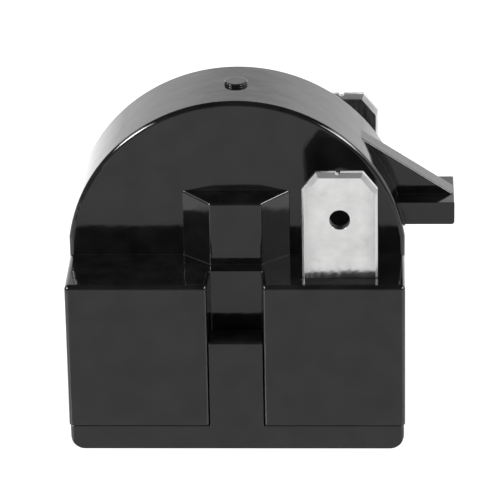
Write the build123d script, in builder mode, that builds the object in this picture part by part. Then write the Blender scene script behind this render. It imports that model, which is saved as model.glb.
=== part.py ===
from build123d import *

import os
from math import cos, radians, sin

# Compressor start relay, in millimetres. +Z is up and the origin is the centre of the underside.
# The front, with the guard block over the notch, looks along -Y. Front and rear are mirror images,
# so most pieces are made once for each side, where side is -1 for the front and +1 for the rear.

# Housing box
body_width = 28.5
body_depth = 21.6
box_height = 13.0
wall = 1.4
edge_radius = 0.4

# Arched hump over the disc
arch_radius = 14.4
arch_depth = 8.6
arch_centre_drop = 0.5
bump_radius = 1.0
bump_height = 0.28
bump_edge_chamfer = 0.1

# Side arm and its rib
arm_reach = 4.2
arm_depth = 5.7
arm_thickness = 2.0
arm_rise = 2.15
rib_thickness = 2.0
rib_foot_angle = 43
rib_edge_radius = 0.12
arm_top_radius = 0.1
arm_bottom_radius = 0.25
arm_root_radius = 0.2

# Guard block on the hump's face
block_back_width = 9.0
block_front_width = 4.3
block_reach = 2.05
block_back_height = 5.95
block_front_height = 5.6
block_edge_radius = 0.25
block_wall = 1.1

# Notch in the box's face, with the window that the cover's barb catches
notch_front_width = 4.7
notch_back_width = 4.3
notch_depth = 3.1
notch_edge_radius = 0.3
window_width = 3.2
window_sill = 3.4
window_height = 3.2

# Base cover
cover_thickness = 2.2
cover_inset = 0.1
cover_corner_radius = 1.25
cover_edge_radius = 0.35
parting_chamfer = 0.07
rim_height = 1.4
rim_thickness = 1.2
tongue_height = 7.8
tongue_thickness = 2.4
tongue_tip_radius = 0.25
barb_overlap = 0.8
barb_flat = 0.5
cradle_width = 9.0
cradle_depth = 3.0
pin_hole_diameter = 3.6
pin_hole_mouth = 5.2

# Ceramic disc
disc_diameter = 20.0
disc_thickness = 3.0
disc_top_gap = 1.5
disc_rib_width = 1.4
disc_rib_angles = (35, 90, 145)

# Terminals, stamped from sheet
sheet = 0.8
tab_width = 6.3
tab_height = 9.5
tab_side_inset = 2.3
tab_setback = 1.62
tab_corner_width = 1.2
tab_corner_height = 1.5
tab_bevel_height = 0.42
tab_bevel_depth = 0.2
tab_side_bevel = 0.18
tab_hole_diameter = 1.75
tab_hole_from_tip = 4.17
tab_nick_radius = 0.2
tab_nick_shifts = {-1: -0.12, 1: 0.0}
shoulder_overhang = 0.6
shelf_drop = 4.8
bend_radius = 0.9
plate_top_gap = 1.2
plate_socket_lap = 1.0

# Pin sockets, rolled from strip, and their spring clips
pin_spacing = 11.0
pin_row_inset = 7.25
pin_diameter = 3.2
socket_wall = 0.5
socket_height = 8.6
socket_wrap = 310
socket_tail = 4.4
clip_wall = 0.35
clip_height = 3.0
clip_wrap = 250

# Contact springs and their rivets
spring_sheet = 0.35
spring_width = 3.2
spring_root_length = 4.6
spring_pad_length = 0.8
spring_bend_radius = 0.6
rivet_diameter = 1.2
rivet_head_diameter = 2.2
rivet_head_height = 0.5
rivet_below_root_top = 2.7

# Clearances
fit_clearance = 0.15
tongue_clearance = 0.08
slot_clearance = 0.1
disc_clearance = 0.2
clip_clearance = 0.05
rivet_clearance = 0.05

# Levels and places worked out from the sizes above
step_level = cover_thickness + box_height
ceiling = step_level - wall
arch_centre = step_level - arch_centre_drop
arch_top = arch_centre + arch_radius
arch_face = arch_depth / 2
box_face = body_depth / 2
half_width = body_width / 2
inner_half_width = half_width - wall
inner_half_depth = box_face - wall
hump_half_width = min(arch_radius, half_width)
inner_arch_radius = arch_radius - wall
notch_back = box_face - notch_depth
block_face = arch_face + block_reach
pocket_face = block_face - block_wall
arm_root = hump_half_width - wall
arm_end = half_width + arm_reach
arm_bottom = step_level + arm_rise
arm_top = arm_bottom + arm_thickness

disc_centre = arch_centre + inner_arch_radius - disc_top_gap - disc_diameter / 2
disc_face = disc_thickness / 2
disc_seat_radius = disc_diameter / 2 + disc_clearance

pin_y = pin_spacing / 2
pin_row_offset = pin_row_inset - half_width
socket_mid_radius = (pin_diameter + socket_wall) / 2
socket_outer_radius = pin_diameter / 2 + socket_wall
plate_outer = pin_y - socket_outer_radius
plate_inner = plate_outer - sheet
plate_mid = plate_outer - sheet / 2
plate_top = ceiling - plate_top_gap
plate_start = pin_row_offset + plate_socket_lap

blade_mid = box_face - tab_setback - sheet / 2
tab_offset = half_width - tab_side_inset - tab_width / 2
tab_tip = step_level + tab_height
shelf_level = ceiling - shelf_drop
shoulder_width = tab_width + 2 * shoulder_overhang
shoulder_start = tab_offset - shoulder_width / 2

side_names = {-1: "front", 1: "rear"}
pin_names = {-1: "run", 1: "start"}

os.makedirs("parts", exist_ok=True)


def save(piece, label):
    piece.part.label = label
    export_step(piece.part, f"parts/{label}.step")


def edges_of_faces(part, axis, place):
    """The edges of the flat faces that lie at one place along an axis."""
    faces = part.faces().filter_by(axis).filter_by_position(axis, place - 0.01, place + 0.01)
    return faces.edges()


# Housing: the box, the hump, the guard blocks and the arm are one moulding
with BuildPart() as housing:
    with BuildSketch(Plane.XY.offset(cover_thickness)):
        Rectangle(body_width, body_depth)
    extrude(amount=box_height)

    with BuildSketch(Plane.XZ):
        with Locations((0, arch_centre)):
            Circle(arch_radius)
        with Locations((0, (ceiling + arch_top) / 2)):
            Rectangle(body_width, arch_top - ceiling, mode=Mode.INTERSECT)
    extrude(amount=arch_face, both=True)

    # Rounded outer edges of the hump and of the box's shoulders
    hump_outline = (
        edges_of_faces(housing.part, Axis.Y, -arch_face) + edges_of_faces(housing.part, Axis.Y, arch_face)
    ).filter_by(lambda edge: edge.center().Z > step_level + 0.1)
    shoulder_outline = edges_of_faces(housing.part, Axis.Z, step_level).filter_by(
        lambda edge: abs(edge.center().Y) > arch_face + 0.1
    )
    corners = housing.edges().filter_by(Axis.Z).filter_by(
        lambda edge: abs(edge.center().Y) > box_face - 0.1
    )
    fillet(hump_outline + shoulder_outline + corners, edge_radius)

    # Guard blocks, tapering out from the hump's faces
    for side in (-1, 1):
        with BuildSketch(Plane.XZ.offset(-side * arch_face)):
            with Locations((0, step_level)):
                Rectangle(block_back_width, block_back_height, align=(Align.CENTER, Align.MIN))
        with BuildSketch(Plane.XZ.offset(-side * block_face)):
            with Locations((0, step_level)):
                Rectangle(block_front_width, block_front_height, align=(Align.CENTER, Align.MIN))
        loft()
        block_corner = housing.edges().filter_by(lambda edge: side * edge.center().Y > arch_face + 0.1)
        block_corner = block_corner.filter_by(
            lambda edge: edge.center().Z > step_level + 0.1 and abs(edge.center().X) < block_back_width / 2
        )
        fillet(block_corner, block_edge_radius)

    # Arm with its rib
    with BuildSketch(Plane.XY.offset(arm_bottom)):
        with Locations((arm_root, 0)):
            Rectangle(arm_end - arm_root, arm_depth, align=(Align.MIN, Align.CENTER))
    extrude(amount=arm_thickness)
    arm_tip = housing.edges().filter_by(Axis.Y).filter_by(lambda edge: edge.center().X > arm_end - 0.01)
    fillet(arm_tip.sort_by(Axis.Z)[-1], arm_top_radius)
    fillet(arm_tip.sort_by(Axis.Z)[0], arm_bottom_radius)
    under_arm = housing.edges().filter_by(Axis.Y).filter_by_position(
        Axis.Z, arm_bottom - 0.01, arm_bottom + 0.01
    )
    fillet(under_arm.sort_by(Axis.X)[0], arm_root_radius)
    rib_foot, rib_root = [
        (radius * cos(radians(rib_foot_angle)), arch_centre + radius * sin(radians(rib_foot_angle)))
        for radius in (arch_radius, arch_radius - wall / 2)
    ]
    with BuildSketch(Plane.XZ):
        Polygon((arm_end - arm_top_radius, arm_top), rib_foot, rib_root, (arm_root, arm_top), align=None)
    extrude(amount=rib_thickness / 2, both=True)
    sloping_edges = housing.edges().filter_by(GeomType.LINE).filter_by(Axis.Z, reverse=True)
    ridge = sloping_edges.filter_by(
        lambda edge: edge.center().Z > arm_top + 0.1
        and abs(abs(edge.center().Y) - rib_thickness / 2) < 0.01
    )
    fillet(ridge, rib_edge_radius)

    # Bump on top of the hump
    with BuildSketch(Plane.XY.offset(arch_top - wall / 2)):
        Circle(bump_radius)
    extrude(amount=wall / 2 + bump_height)
    chamfer(edges_of_faces(housing.part, Axis.Z, arch_top + bump_height), bump_edge_chamfer)

    # Notches in the box's faces
    for side in (-1, 1):
        with BuildSketch(Plane.XY.offset(cover_thickness)):
            Polygon(
                (-notch_front_width / 2, side * box_face),
                (notch_front_width / 2, side * box_face),
                (notch_back_width / 2, side * notch_back),
                (-notch_back_width / 2, side * notch_back),
                align=None,
            )
        extrude(amount=box_height, mode=Mode.SUBTRACT)
        mouth = housing.edges().filter_by(Axis.Z).filter_by(
            lambda edge: side * edge.center().Y > box_face - 0.01 and abs(edge.center().X) < notch_front_width
        )
        fillet(mouth, notch_edge_radius)
    chamfer(edges_of_faces(housing.part, Axis.Z, cover_thickness), parting_chamfer)

    # Inside of the box, kept clear of the notches' walls
    with BuildSketch(Plane.XY.offset(cover_thickness)):
        Rectangle(2 * inner_half_width, 2 * inner_half_depth)
        for side in (-1, 1):
            with Locations((0, side * box_face)):
                Rectangle(notch_front_width + 2 * wall, 2 * (notch_depth + wall), mode=Mode.SUBTRACT)
    extrude(amount=ceiling - cover_thickness, mode=Mode.SUBTRACT)

    # Inside of the hump, with the ribs that centre the disc
    with BuildSketch(Plane.XZ):
        with Locations((0, arch_centre)):
            Circle(inner_arch_radius)
        with Locations((0, (ceiling - wall + arch_top) / 2)):
            Rectangle(2 * inner_half_width, arch_top - ceiling + wall, mode=Mode.INTERSECT)
        with Locations((0, disc_centre)):
            for angle in disc_rib_angles:
                with PolarLocations(disc_seat_radius, 1, start_angle=angle):
                    Rectangle(
                        arch_radius, disc_rib_width, align=(Align.MIN, Align.CENTER), mode=Mode.SUBTRACT
                    )
    extrude(amount=arch_face - wall, both=True, mode=Mode.SUBTRACT)

    # Pockets behind the guard blocks, which take the bows of the springs
    for side in (-1, 1):
        with BuildSketch(Plane.XY.offset(ceiling - wall)):
            Polygon(
                (-block_back_width / 2, 0),
                (-block_back_width / 2, side * arch_face),
                (-block_front_width / 2, side * block_face),
                (block_front_width / 2, side * block_face),
                (block_back_width / 2, side * arch_face),
                (block_back_width / 2, 0),
                align=None,
            )
            offset(amount=-block_wall, kind=Kind.INTERSECTION)
        extrude(amount=block_front_height + 2 * wall - block_wall, mode=Mode.SUBTRACT)

    # Slots for the tabs, and windows for the cover's barbs
    for side in (-1, 1):
        with BuildSketch(Plane.XY.offset(step_level)):
            with Locations((tab_offset, side * blade_mid)):
                Rectangle(tab_width + 2 * slot_clearance, sheet + 2 * slot_clearance)
        extrude(amount=-wall, mode=Mode.SUBTRACT)
        with BuildSketch(Plane.XZ.offset(-side * notch_back)):
            with Locations((0, cover_thickness + window_sill)):
                Rectangle(window_width, window_height, align=(Align.CENTER, Align.MIN))
        extrude(amount=side * wall, mode=Mode.SUBTRACT)

save(housing, "housing")

# Base cover: plate with rounded lower corners, rim, snap tongues, disc cradle and pin holes
cover_half_width = half_width - cover_inset
cover_face = box_face - cover_inset
rim_half_width = inner_half_width - fit_clearance
rim_half_depth = inner_half_depth - fit_clearance
tongue_back = cover_face - tongue_thickness
barb_tip = notch_back - barb_overlap


def notch_half_width(y):
    """Half the notch's width at a distance from the middle plane."""
    depth_share = (box_face - y) / notch_depth
    return (notch_front_width + (notch_back_width - notch_front_width) * depth_share) / 2


with BuildPart() as base_cover:
    with BuildSketch():
        RectangleRounded(2 * cover_half_width, 2 * cover_face, cover_edge_radius)
    extrude(amount=cover_thickness)
    with BuildSketch(Plane.XZ) as cover_front:
        with Locations((0, cover_thickness / 2)):
            Rectangle(2 * cover_half_width, cover_thickness)
        fillet(cover_front.vertices().group_by(Axis.Y)[0], cover_corner_radius)
    extrude(amount=cover_face, both=True, mode=Mode.INTERSECT)
    chamfer(edges_of_faces(base_cover.part, Axis.Z, cover_thickness), parting_chamfer)

    # Rim inside the housing's walls, broken at the notches
    with BuildSketch(Plane.XY.offset(cover_thickness)):
        Rectangle(2 * rim_half_width, 2 * rim_half_depth)
        offset(amount=-rim_thickness, mode=Mode.SUBTRACT)
        Rectangle(notch_front_width + 2 * (wall + fit_clearance), body_depth, mode=Mode.SUBTRACT)
    extrude(amount=rim_height)

    for side in (-1, 1):
        # Tongue that fills the notch's lower part
        front_half = notch_half_width(cover_face) - tongue_clearance
        back_half = notch_half_width(tongue_back) - tongue_clearance
        with BuildSketch(Plane.XY.offset(cover_thickness / 2)):
            Polygon(
                (-front_half, side * cover_face),
                (front_half, side * cover_face),
                (back_half, side * tongue_back),
                (-back_half, side * tongue_back),
                align=None,
            )
        extrude(amount=cover_thickness / 2 + tongue_height)
        tongue_tip = edges_of_faces(base_cover.part, Axis.Z, cover_thickness + tongue_height)
        front_edge = tongue_tip.filter_by(lambda edge: side * edge.center().Y > cover_face - 0.1)
        fillet(front_edge, tongue_tip_radius)
        # Barb on its back, flat below and ramped above
        barb_bottom = cover_thickness + window_sill + fit_clearance
        barb_top = cover_thickness + window_sill + window_height - fit_clearance
        with BuildSketch(Plane.YZ):
            Polygon(
                (side * cover_face, barb_bottom),
                (side * tongue_back, barb_bottom),
                (side * barb_tip, barb_bottom),
                (side * barb_tip, barb_bottom + barb_flat),
                (side * tongue_back, barb_top),
                (side * cover_face, barb_top),
                align=None,
            )
        extrude(amount=window_width / 2 - fit_clearance, both=True)

    # Cradle under the disc
    with BuildSketch(Plane.XY.offset(cover_thickness)):
        Rectangle(cradle_width, cradle_depth)
    extrude(amount=disc_centre - cover_thickness)
    with BuildSketch(Plane.XZ):
        with Locations((0, disc_centre)):
            Circle(disc_seat_radius)
    extrude(amount=cradle_depth, both=True, mode=Mode.SUBTRACT)

    # Pin holes with conical mouths
    with Locations(*[Location((pin_row_offset, side * pin_y, 0), (180, 0, 0)) for side in (-1, 1)]):
        CounterSinkHole(pin_hole_diameter / 2, pin_hole_mouth / 2, depth=cover_thickness)

save(base_cover, "base_cover")


# Disc, standing on edge in the hump
with BuildPart() as ptc_disc:
    with BuildSketch(Plane.XZ):
        with Locations((0, disc_centre)):
            Circle(disc_diameter / 2)
    extrude(amount=disc_face, both=True)

save(ptc_disc, "ptc_disc")


# Terminals: spade tab, shoulder under the ceiling, shelf inwards and plate down to the cover
for side in (-1, 1):
    with BuildPart() as terminal:
        # Blade with clipped corners, coined bevels round its tip and finer ones down its sides
        with BuildSketch(Plane.XZ.offset(-side * (blade_mid - sheet / 2))):
            with BuildLine():
                left = tab_offset - tab_width / 2
                right = tab_offset + tab_width / 2
                Polyline(
                    (left, ceiling - sheet),
                    (left, tab_tip - tab_corner_height),
                    (left + tab_corner_width, tab_tip),
                    (right - tab_corner_width, tab_tip),
                    (right, tab_tip - tab_corner_height),
                    (right, ceiling - sheet),
                    close=True,
                )
            make_face()
        extrude(amount=-side * sheet)
        for flat_face in terminal.faces().filter_by(Axis.Y):
            tip_edges = flat_face.edges().filter_by(lambda edge: edge.center().Z > tab_tip - tab_corner_height)
            chamfer(tip_edges, tab_bevel_height, tab_bevel_depth, reference=flat_face)
        chamfer(terminal.faces().filter_by(Axis.Y).edges().filter_by(Axis.Z), tab_side_bevel)

        # Strip folded from under the ceiling to the cover
        with BuildSketch(Plane.YZ.offset(shoulder_start)):
            with BuildLine():
                FilletPolyline(
                    (side * blade_mid, ceiling),
                    (side * blade_mid, shelf_level),
                    (side * plate_mid, shelf_level),
                    (side * plate_mid, cover_thickness),
                    radius=bend_radius,
                )
            trace(line_width=sheet)
        extrude(amount=shoulder_width)

        # Plate behind the pin socket and the spring
        with BuildSketch(Plane.XZ.offset(-side * plate_inner)):
            with Locations((plate_start, cover_thickness)):
                Rectangle(
                    shoulder_start - plate_start, plate_top - cover_thickness, align=(Align.MIN, Align.MIN)
                )
        extrude(amount=-side * sheet)

        # Relief at the plate's lower corner, clear of the cover's rim
        relief_start = rim_half_width - rim_thickness - fit_clearance
        with BuildSketch(Plane.XZ):
            with Locations((relief_start, cover_thickness)):
                Rectangle(shoulder_width, rim_height + fit_clearance, align=(Align.MIN, Align.MIN))
        extrude(amount=-side * (plate_outer + sheet), mode=Mode.SUBTRACT)

        # Hole for the receptacle's dimple, and the nick where the strip was broken off
        with BuildSketch(Plane.XZ.offset(-side * (blade_mid - sheet))):
            with Locations((tab_offset, tab_tip - tab_hole_from_tip)):
                Circle(tab_hole_diameter / 2)
            with Locations((tab_offset + tab_nick_shifts[side], tab_tip)):
                Circle(tab_nick_radius)
        extrude(amount=-side * 2 * sheet, mode=Mode.SUBTRACT)

        # Hole for the rivet
        rivet_level = plate_top - rivet_below_root_top
        with BuildSketch(Plane.XZ):
            with Locations((0, rivet_level)):
                Circle(rivet_diameter / 2 + rivet_clearance)
        extrude(amount=-side * (plate_outer + sheet), mode=Mode.SUBTRACT)
    save(terminal, side_names[side] + "_terminal")


# Pin sockets: one strip rolled round the pin, its tail lying flat on the terminal's plate
for side in (-1, 1):
    centre = (pin_row_offset, side * pin_y)
    with BuildPart() as pin_socket:
        with BuildSketch(Plane.XY.offset(cover_thickness)):
            with BuildLine():
                Line(
                    (pin_row_offset + socket_tail, side * (pin_y - socket_mid_radius)),
                    (pin_row_offset, side * (pin_y - socket_mid_radius)),
                )
                CenterArc(centre, socket_mid_radius, -side * 90, -side * socket_wrap)
            trace(line_width=socket_wall)
        extrude(amount=socket_height)
    save(pin_socket, pin_names[side] + "_pin_socket")

    with BuildPart() as socket_clip:
        clip_mid_radius = socket_outer_radius + clip_clearance + clip_wall / 2
        clip_start = 90 + (360 - clip_wrap) / 2
        with BuildSketch(Plane.XY.offset(cover_thickness + (socket_height - clip_height) / 2)):
            with BuildLine():
                CenterArc(centre, clip_mid_radius, -side * clip_start, -side * clip_wrap)
            trace(line_width=clip_wall)
        extrude(amount=clip_height)
    save(socket_clip, pin_names[side] + "_socket_clip")


# Contact springs: a root on the plate, a bow through the pocket, and a pad on the disc
for side in (-1, 1):
    root_y = plate_outer + spring_sheet / 2
    bow_y = pocket_face - fit_clearance - spring_sheet / 2
    pad_y = disc_face + spring_sheet / 2
    bow_top = step_level + block_front_height - block_wall - fit_clearance - 2 * spring_sheet
    with BuildPart() as contact_spring:
        with BuildSketch(Plane.YZ):
            with BuildLine():
                FilletPolyline(
                    (side * root_y, plate_top - spring_root_length),
                    (side * root_y, plate_top),
                    (side * bow_y, (plate_top + bow_top) / 2 + spring_pad_length),
                    (side * bow_y, bow_top),
                    (side * (arch_face - wall), bow_top),
                    (side * pad_y, disc_centre + spring_pad_length),
                    (side * pad_y, disc_centre - spring_pad_length),
                    (side * (pad_y + spring_pad_length), disc_centre - 2 * spring_pad_length),
                    radius=spring_bend_radius,
                )
            trace(line_width=spring_sheet)
        extrude(amount=spring_width / 2, both=True)
        with BuildSketch(Plane.XZ):
            with Locations((0, rivet_level)):
                Circle(rivet_diameter / 2 + rivet_clearance)
        extrude(amount=-side * (plate_outer + sheet), mode=Mode.SUBTRACT)
    save(contact_spring, side_names[side] + "_spring")

    # Rivet through the spring's root and the plate
    with BuildPart() as rivet:
        with BuildSketch(Plane.YZ):
            with BuildLine():
                inner = side * plate_inner
                outer = side * (plate_outer + spring_sheet)
                Polyline(
                    (inner - side * rivet_head_height, rivet_level),
                    (inner - side * rivet_head_height, rivet_level + rivet_head_diameter / 2),
                    (inner, rivet_level + rivet_head_diameter / 2),
                    (inner, rivet_level + rivet_diameter / 2),
                    (outer, rivet_level + rivet_diameter / 2),
                    (outer, rivet_level + rivet_head_diameter / 2),
                    (outer + side * rivet_head_height, rivet_level + rivet_head_diameter / 2),
                    (outer + side * rivet_head_height, rivet_level),
                    close=True,
                )
            make_face()
        revolve(axis=Axis((0, 0, rivet_level), (0, 1, 0)))
    save(rivet, side_names[side] + "_rivet")
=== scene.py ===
import math

import bpy
from mathutils import Matrix, Vector


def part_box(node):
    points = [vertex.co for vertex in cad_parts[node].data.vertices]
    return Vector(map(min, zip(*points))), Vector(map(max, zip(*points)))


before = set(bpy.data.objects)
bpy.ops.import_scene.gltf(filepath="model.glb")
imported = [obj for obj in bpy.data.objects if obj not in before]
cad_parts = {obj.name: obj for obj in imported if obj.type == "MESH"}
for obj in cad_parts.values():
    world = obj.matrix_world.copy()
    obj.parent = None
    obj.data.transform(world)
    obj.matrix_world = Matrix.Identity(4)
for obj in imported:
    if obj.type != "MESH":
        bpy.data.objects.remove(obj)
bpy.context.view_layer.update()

# All lengths are in metres unless a name says otherwise
MM = 0.001

# Camera, as fitted to the outlines of the box and the hump
camera_elevation = math.radians(24.121)
camera_turn = math.radians(-2.295)
camera_roll = math.radians(-1.008)
camera_distance = 317.39 * MM
camera_aim = Vector((0.9368, 0.0, 13.6938)) * MM
camera_lens_mm = 265.314
camera_sensor_mm = 36
camera_nearest = 0.01
camera_farthest = 20

# White floor, and the share of the light that it throws back on the things around it
floor_half_width = 2.0
floor_white = 0.8

# Floor where it is seen: the share of the lamps' light that shows on it, and its glow for the camera
floor_gain = 0.32
floor_camera_glow = 0.8

# Floor's glow in glossy surfaces: dimmer in front of the object than beside and behind it
floor_front_glow = 0.4
floor_side_glow = 0.78
floor_side_start = 19 * MM
floor_side_end = 27 * MM
floor_rear_glow = 1.38
floor_rear_start = -22 * MM
floor_rear_end = 30 * MM

# Floor's polish in glossy surfaces, stronger where it is seen at a flat angle
floor_polish_roughness = 0.2
floor_polish_ior = 1.5

# Light of the room: even on matt surfaces, and white where the camera sees it
room_fill = 0.5
room_white = 1.0

# Room in glossy surfaces: a dark ceiling, a dim front and a lit wall behind the object. The heights
# and borders are measured on a direction of length 1
room_ceiling = 0.05
room_front = 0.35
room_front_top = 0.5
wall_left = 1.38
wall_right = 1.56
wall_side_reach = 0.4
wall_fade_start = 0.26
wall_fade_end = 0.62

# Border between the front and the wall, which is turned so that the wall reaches further on the right
wall_border_start = 0.1
wall_border_end = 0.5
wall_turn = 0.6

# From the softboxes to the point that the camera aims at
softbox_distance = 0.5

# Part of a noise's values over which a look changes
noise_low = 0.35
noise_high = 0.65

# Softened edges
edge_samples = 8
plastic_edge = 0.07 * MM
tin_edge = 0.05 * MM
ceramic_edge = 0.08 * MM
strip_edge = 0.04 * MM
brass_edge = 0.04 * MM

# Depths of the relief
plastic_wave_depth = 0.02 * MM
plastic_grain_depth = 0.0004 * MM
tin_swell_depth = 0.45 * MM
tin_dent_depth = 0.06 * MM
tin_pit_depth = 0.0004 * MM
ceramic_grain_depth = 0.004 * MM
metal_line_depth = 0.001 * MM
brass_cloud_depth = 0.004 * MM

# The spade tabs' middle, and where painted shade darkens their plating towards the sides
tab_middle = 8.8 * MM
tab_painted_shade_start = 1.6 * MM
tab_painted_shade_end = 3.1 * MM
tab_painted_shade_share = 0.5

# Sheared and bevelled parts of the sheet, told by how squarely they look along an axis
square_start = 0.93
square_end = 0.99

# Grey of the painted shade towards the tabs' sides and of the duller sheared plating, and the sheared
# plating's roughness
shade_and_sheared_grey = 0.48
sheared_roughness = 0.37

# Width of the bare rim round the disc's silver coat
coat_margin = 0.5 * MM


def make_camera():
    """The photo's camera, turned, raised and rolled about the point that it aims at."""
    data = bpy.data.cameras.new("camera")
    data.lens = camera_lens_mm
    data.sensor_width = camera_sensor_mm
    data.clip_start = camera_nearest
    data.clip_end = camera_farthest
    camera = bpy.data.objects.new("camera", data)
    bpy.context.scene.collection.objects.link(camera)
    bpy.context.scene.camera = camera
    forward = Vector(
        (
            math.sin(camera_turn) * math.cos(camera_elevation),
            math.cos(camera_turn) * math.cos(camera_elevation),
            -math.sin(camera_elevation),
        )
    )
    level_right = forward.cross(Vector((0, 0, 1))).normalized()
    level_up = level_right.cross(forward)
    right = level_right * math.cos(camera_roll) + level_up * math.sin(camera_roll)
    up = level_up * math.cos(camera_roll) - level_right * math.sin(camera_roll)
    turn = Matrix((right, up, -forward)).transposed()
    camera.matrix_world = Matrix.Translation(camera_aim - camera_distance * forward) @ turn.to_4x4()


def connect(tree, node, inputs):
    """Links or sets a node's sockets: each gets the output or the value that it is given."""
    for name, value in inputs.items():
        if isinstance(value, bpy.types.NodeSocket):
            tree.links.new(value, node.inputs[name])
        else:
            node.inputs[name].default_value = value


def add(tree, kind, inputs=None, **settings):
    """A new shader node, with its settings made and its sockets linked or set."""
    node = tree.nodes.new("ShaderNode" + kind)
    for name, value in settings.items():
        setattr(node, name, value)
    connect(tree, node, inputs or {})
    return node


def math_node(tree, operation, *values):
    """The result of an operation on one, two or three values."""
    return add(tree, "Math", dict(enumerate(values)), operation=operation).outputs[0]


def coordinate(tree, kind):
    """The X, Y and Z outputs of a kind of texture coordinate."""
    vector = add(tree, "TexCoord").outputs[kind]
    return add(tree, "SeparateXYZ", {"Vector": vector}).outputs


def ramp(tree, value, start, end, low, high, interpolation="SMOOTHSTEP"):
    """A change from low to high, as the value goes from start to end."""
    limits = {"Value": value, "From Min": start, "From Max": end, "To Min": low, "To Max": high}
    return add(tree, "MapRange", limits, interpolation_type=interpolation).outputs[0]


def grey(value):
    """A grey colour."""
    return (value, value, value, 1)


def mix_colors(tree, factor, first, second):
    """The first colour where the factor is 0, and the second where it is 1."""
    return add(tree, "MixRGB", {"Fac": factor, "Color1": first, "Color2": second}).outputs[0]


def mix_shaders(tree, factor, first, second):
    """The first shader where the factor is 0, and the second where it is 1."""
    return add(tree, "MixShader", {0: factor, 1: first, 2: second}).outputs[0]


def white_glow(tree, kind, strength):
    """White light from a surface, an Emission, or from the world, a Background."""
    return add(tree, kind, {"Color": grey(1), "Strength": strength}).outputs[0]


def matt(tree, share):
    """A matt grey that gives back a share of the light."""
    return add(tree, "BsdfDiffuse", {"Color": grey(share)}).outputs[0]


def seen_ray(tree):
    """A factor of 1 for the rays that see a surface directly, in a mirror or through glass."""
    path = add(tree, "LightPath").outputs
    factor = path["Is Camera Ray"]
    for other in ("Is Glossy Ray", "Is Transmission Ray"):
        factor = math_node(tree, "MAXIMUM", factor, path[other])
    return factor


def mirrored_floor_glow(tree):
    """The floor's glow in glossy surfaces, by its place beside or behind the object."""
    place = coordinate(tree, "Object")
    aside = math_node(tree, "ABSOLUTE", place["X"])
    beside = ramp(tree, aside, floor_side_start, floor_side_end, floor_front_glow, floor_side_glow)
    behind = ramp(tree, place["Y"], floor_rear_start, floor_rear_end, floor_front_glow, floor_rear_glow)
    return math_node(tree, "MAXIMUM", beside, behind)


def floor_material():
    """Matt white for the light, glowing where it is seen, and polished in glossy surfaces."""
    material = bpy.data.materials.new("floor_white")
    material.use_nodes = True
    tree = material.node_tree
    tree.nodes.clear()
    path = add(tree, "LightPath").outputs
    mirrored_glow = mirrored_floor_glow(tree)
    strength = ramp(tree, path["Is Camera Ray"], 0.0, 1.0, mirrored_glow, floor_camera_glow)
    glow = white_glow(tree, "Emission", strength)
    glowing = add(tree, "AddShader", {0: glow, 1: matt(tree, floor_gain)}).outputs[0]
    polish = add(tree, "BsdfGlossy", {"Color": grey(1), "Roughness": floor_polish_roughness})
    flat_angle = add(tree, "Fresnel", {"IOR": floor_polish_ior}).outputs[0]
    polish_share = math_node(tree, "MULTIPLY", flat_angle, path["Is Glossy Ray"])
    seen = mix_shaders(tree, polish_share, glowing, polish.outputs[0])
    surface = mix_shaders(tree, seen_ray(tree), matt(tree, floor_white), seen)
    add(tree, "OutputMaterial", {"Surface": surface})
    return material


def make_floor():
    """A large square under the object."""
    mesh = bpy.data.meshes.new("floor")
    w = floor_half_width
    mesh.from_pydata([(-w, -w, 0), (w, -w, 0), (w, w, 0), (-w, w, 0)], [], [(0, 1, 2, 3)])
    floor = bpy.data.objects.new("floor", mesh)
    bpy.context.scene.collection.objects.link(floor)
    mesh.materials.append(floor_material())


def mirrored_room(tree):
    """How bright the room is in glossy surfaces, by the direction that they mirror."""
    across, depth, height = coordinate(tree, "Generated")
    front = ramp(tree, height, 0.0, room_front_top, room_front, room_ceiling)
    wall = ramp(tree, across, -wall_side_reach, wall_side_reach, wall_left, wall_right)
    wall = ramp(tree, height, wall_fade_start, wall_fade_end, wall, room_ceiling)
    turned = math_node(tree, "MULTIPLY_ADD", across, wall_turn, depth)
    return ramp(tree, turned, wall_border_start, wall_border_end, front, wall)


def make_world():
    """The room: white for the camera, uneven in glossy surfaces and an even fill for the rest."""
    world = bpy.data.worlds.new("studio")
    bpy.context.scene.world = world
    world.use_nodes = True
    tree = world.node_tree
    tree.nodes.clear()
    path = add(tree, "LightPath").outputs
    fill = white_glow(tree, "Background", room_fill)
    mirrored = white_glow(tree, "Background", mirrored_room(tree))
    white = white_glow(tree, "Background", room_white)
    lit = mix_shaders(tree, path["Is Glossy Ray"], fill, mirrored)
    seen = mix_shaders(tree, path["Is Camera Ray"], lit, white)
    add(tree, "OutputWorld", {"Surface": seen})


def make_softbox(name, side, turn, elevation, width, height, brightness):
    """A lamp on the left (side -1) or right (1), turned to the front and raised by some degrees.

    The brightness is in watts per square metre of the lamp.
    """
    data = bpy.data.lights.new(name, "AREA")
    data.shape = "RECTANGLE"
    data.size = width
    data.size_y = height
    data.energy = brightness * width * height
    lamp = bpy.data.objects.new(name, data)
    bpy.context.scene.collection.objects.link(lamp)
    turn = math.radians(turn)
    rise = math.tan(math.radians(elevation))
    away = Vector((side * math.cos(turn), -math.sin(turn), rise)).normalized()
    lamp.location = camera_aim + away * softbox_distance
    lamp.rotation_mode = "QUATERNION"
    lamp.rotation_quaternion = away.to_track_quat("Z", "Y")
    lamp.visible_camera = False


def noise(tree, per_mm, detail, stretch=(1, 1, 1), shift=(0, 0, 0)):
    """Noise in the object's own space: stretch lengthens its grains along an axis, shift moves it."""
    place = add(tree, "TexCoord").outputs["Object"]
    scale = tuple(1 / (MM * length) for length in stretch)
    mapped = add(tree, "Mapping", {"Vector": place, "Location": shift, "Scale": scale}).outputs[0]
    texture = add(tree, "TexNoise", {"Vector": mapped, "Scale": per_mm, "Detail": detail})
    return texture.outputs["Fac"]


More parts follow.
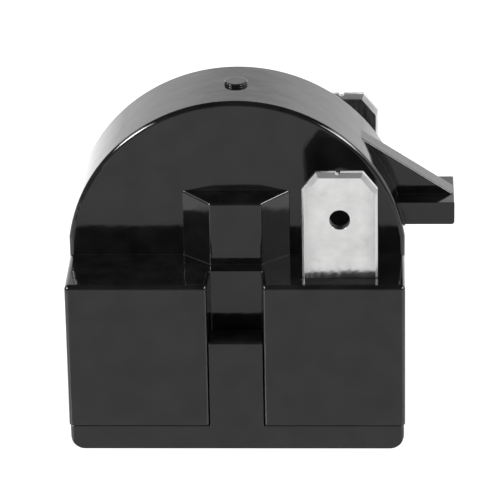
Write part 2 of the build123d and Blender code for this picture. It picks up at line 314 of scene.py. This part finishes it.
def spread(tree, noise_value, low, high):
    """The range from low to high over a noise."""
    return ramp(tree, noise_value, noise_low, noise_high, low, high, "LINEAR")


def shades(tree, noise_value, dark, light):
    """The colours from dark to light over a noise."""
    blend = add(tree, "ValToRGB", {"Fac": noise_value})
    stops = zip(blend.color_ramp.elements, (noise_low, noise_high), (dark, light))
    for stop, position, color in stops:
        stop.position = position
        stop.color = (*color, 1)
    return blend.outputs["Color"]


def relief(tree, edge, layers):
    """The normal of a surface with softened edges and bumps, given as pairs of height and depth."""
    normal = add(tree, "Bevel", {"Radius": edge}, samples=edge_samples).outputs["Normal"]
    for height, depth in layers:
        inputs = {"Height": height, "Distance": depth, "Strength": 1.0, "Normal": normal}
        normal = add(tree, "Bump", inputs).outputs["Normal"]
    return normal


def start_material(name):
    """A new material, with its node tree and its shader."""
    material = bpy.data.materials.new(name)
    material.use_nodes = True
    return material, material.node_tree, material.node_tree.nodes["Principled BSDF"]


def black_plastic(name, shift):
    """Glossy black moulded plastic: faint flow clouds, a slightly wavy skin and a fine grain."""
    material, tree, shader = start_material(name)
    clouds = noise(tree, per_mm=0.5, detail=5, shift=shift)
    haze = noise(tree, per_mm=1.3, detail=4, shift=shift)
    waves = noise(tree, per_mm=0.5, detail=2, shift=shift)
    grain = noise(tree, per_mm=6, detail=2, shift=shift)
    bumps = [(waves, plastic_wave_depth), (grain, plastic_grain_depth)]
    look = {
        "Base Color": shades(tree, clouds, dark=(0.0022, 0.0022, 0.0022), light=(0.0048, 0.0048, 0.0048)),
        "Roughness": spread(tree, haze, low=0.07, high=0.12),
        "Normal": relief(tree, plastic_edge, bumps),
    }
    connect(tree, shader, look)
    return material


def sheared_parts(tree):
    """1 on bevels, bends and side edges, which look squarely along neither Y nor Z, and 0 elsewhere."""
    facing = coordinate(tree, "Normal")
    along_y = math_node(tree, "ABSOLUTE", facing["Y"])
    along_z = math_node(tree, "ABSOLUTE", facing["Z"])
    squareness = math_node(tree, "MAXIMUM", along_y, along_z)
    return ramp(tree, squareness, square_start, square_end, 1.0, 0.0)


def tin_plate():
    """Tin-plated brass sheet: cloudy, uneven plating with faint lines, duller where it is sheared, and
    painted shade towards the tabs' sides.
    """
    material, tree, shader = start_material("tin_plate")
    clouds = noise(tree, per_mm=0.8, detail=4)
    lines = noise(tree, per_mm=5, detail=3, stretch=(1, 1, 12))
    swells = noise(tree, per_mm=0.2, detail=1)
    dents = noise(tree, per_mm=1.2, detail=4, stretch=(1, 1, 1.5))
    pits = noise(tree, per_mm=5, detail=3)
    bumps = [(swells, tin_swell_depth), (dents, tin_dent_depth), (pits, tin_pit_depth)]
    # Painted shade: the plating's colour darkens towards each tab's sides, standing in for the dimmer
    # reflections there
    off_middle = math_node(tree, "SUBTRACT", coordinate(tree, "Object")["X"], tab_middle)
    aside = math_node(tree, "ABSOLUTE", off_middle)
    painted_side_shade = ramp(tree, aside, tab_painted_shade_start, tab_painted_shade_end, 0.0, tab_painted_shade_share)
    sheared = sheared_parts(tree)
    # The grey comes in with the painted side shade and on the duller sheared parts
    shade_and_sheared = math_node(tree, "MAXIMUM", painted_side_shade, sheared)
    bright = shades(tree, clouds, dark=(0.72, 0.72, 0.715), light=(0.79, 0.79, 0.785))
    smooth = spread(tree, lines, low=0.2, high=0.27)
    look = {
        "Metallic": 1.0,
        "Base Color": mix_colors(tree, shade_and_sheared, bright, grey(shade_and_sheared_grey)),
        "Roughness": ramp(tree, sheared, 0.0, 1.0, smooth, sheared_roughness),
        "Normal": relief(tree, tin_edge, bumps),
    }
    connect(tree, shader, look)
    return material


def ceramic():
    """A grey ceramic pill whose flat faces carry a silver coat that stops short of the rim."""
    material, tree, shader = start_material("ceramic")
    low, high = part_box("ptc_disc")
    centre = (Vector(low) + Vector(high)) / 2
    coat_radius = (high[0] - low[0]) / 2 - coat_margin
    place = coordinate(tree, "Object")
    flat = add(tree, "CombineXYZ", {"X": place["X"], "Y": centre.y, "Z": place["Z"]}).outputs[0]
    from_middle = add(tree, "VectorMath", {0: flat, 1: centre}, operation="DISTANCE")
    coated = math_node(tree, "LESS_THAN", from_middle.outputs["Value"], coat_radius)
    grain = noise(tree, per_mm=4, detail=4)
    silver = shades(tree, grain, dark=(0.66, 0.65, 0.62), light=(0.74, 0.73, 0.7))
    body = shades(tree, grain, dark=(0.16, 0.15, 0.14), light=(0.22, 0.21, 0.2))
    look = {
        "Metallic": coated,
        "Base Color": mix_colors(tree, coated, body, silver),
        "Roughness": spread(tree, grain, low=0.42, high=0.58),
        "Normal": relief(tree, ceramic_edge, [(grain, ceramic_grain_depth)]),
    }
    connect(tree, shader, look)
    return material


def spring_steel():
    """Rolled spring steel: lines along the strip and a faint blue-grey cast."""
    material, tree, shader = start_material("spring_steel")
    lines = noise(tree, per_mm=10, detail=2, stretch=(1, 12, 12))
    clouds = noise(tree, per_mm=1.2, detail=3)
    look = {
        "Metallic": 1.0,
        "Base Color": shades(tree, clouds, dark=(0.5, 0.51, 0.53), light=(0.6, 0.61, 0.63)),
        "Roughness": spread(tree, lines, low=0.2, high=0.34),
        "Normal": relief(tree, strip_edge, [(lines, metal_line_depth)]),
    }
    connect(tree, shader, look)
    return material


def brass(name, line_stretch):
    """Plain brass, a little tarnished in clouds, with lines from rolling or turning."""
    material, tree, shader = start_material(name)
    clouds = noise(tree, per_mm=0.9, detail=4)
    lines = noise(tree, per_mm=9, detail=2, stretch=line_stretch)
    bumps = [(lines, metal_line_depth), (clouds, brass_cloud_depth)]
    look = {
        "Metallic": 1.0,
        "Base Color": shades(tree, clouds, dark=(0.68, 0.5, 0.24), light=(0.78, 0.6, 0.32)),
        "Roughness": spread(tree, lines, low=0.22, high=0.36),
        "Normal": relief(tree, brass_edge, bumps),
    }
    connect(tree, shader, look)
    return material


def dress(names, material):
    """Gives a material to the nodes of these names."""
    for name in names:
        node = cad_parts[name]
        node.data.materials.clear()
        node.data.materials.append(material)


bpy.context.scene.view_settings.view_transform = "Standard"
make_camera()
make_floor()
make_world()

# Keys for the hump's rim, wide lamps for the guard block's edges and a low one for the step
make_softbox("left_key", -1, turn=31, elevation=31, width=0.2, height=0.1, brightness=150)
make_softbox("right_key", 1, turn=30, elevation=33, width=0.26, height=0.12, brightness=55)
make_softbox("left_wide", -1, turn=5, elevation=37, width=0.4, height=0.12, brightness=11)
make_softbox("right_wide", 1, turn=5, elevation=38, width=0.4, height=0.12, brightness=14)
make_softbox("right_low", 1, turn=8, elevation=25, width=0.15, height=0.1, brightness=5)

dress(["housing"], black_plastic("housing_plastic", shift=(0, 0, 0)))
dress(["base_cover"], black_plastic("cover_plastic", shift=(37, 11, 5)))
dress(["front_terminal", "rear_terminal"], tin_plate())
dress(["ptc_disc"], ceramic())
dress(["front_spring", "rear_spring", "run_socket_clip", "start_socket_clip"], spring_steel())
dress(["front_rivet", "rear_rivet"], brass("rivet_brass", line_stretch=(1, 1, 1)))
dress(["run_pin_socket", "start_pin_socket"], brass("socket_brass", line_stretch=(10, 10, 1)))
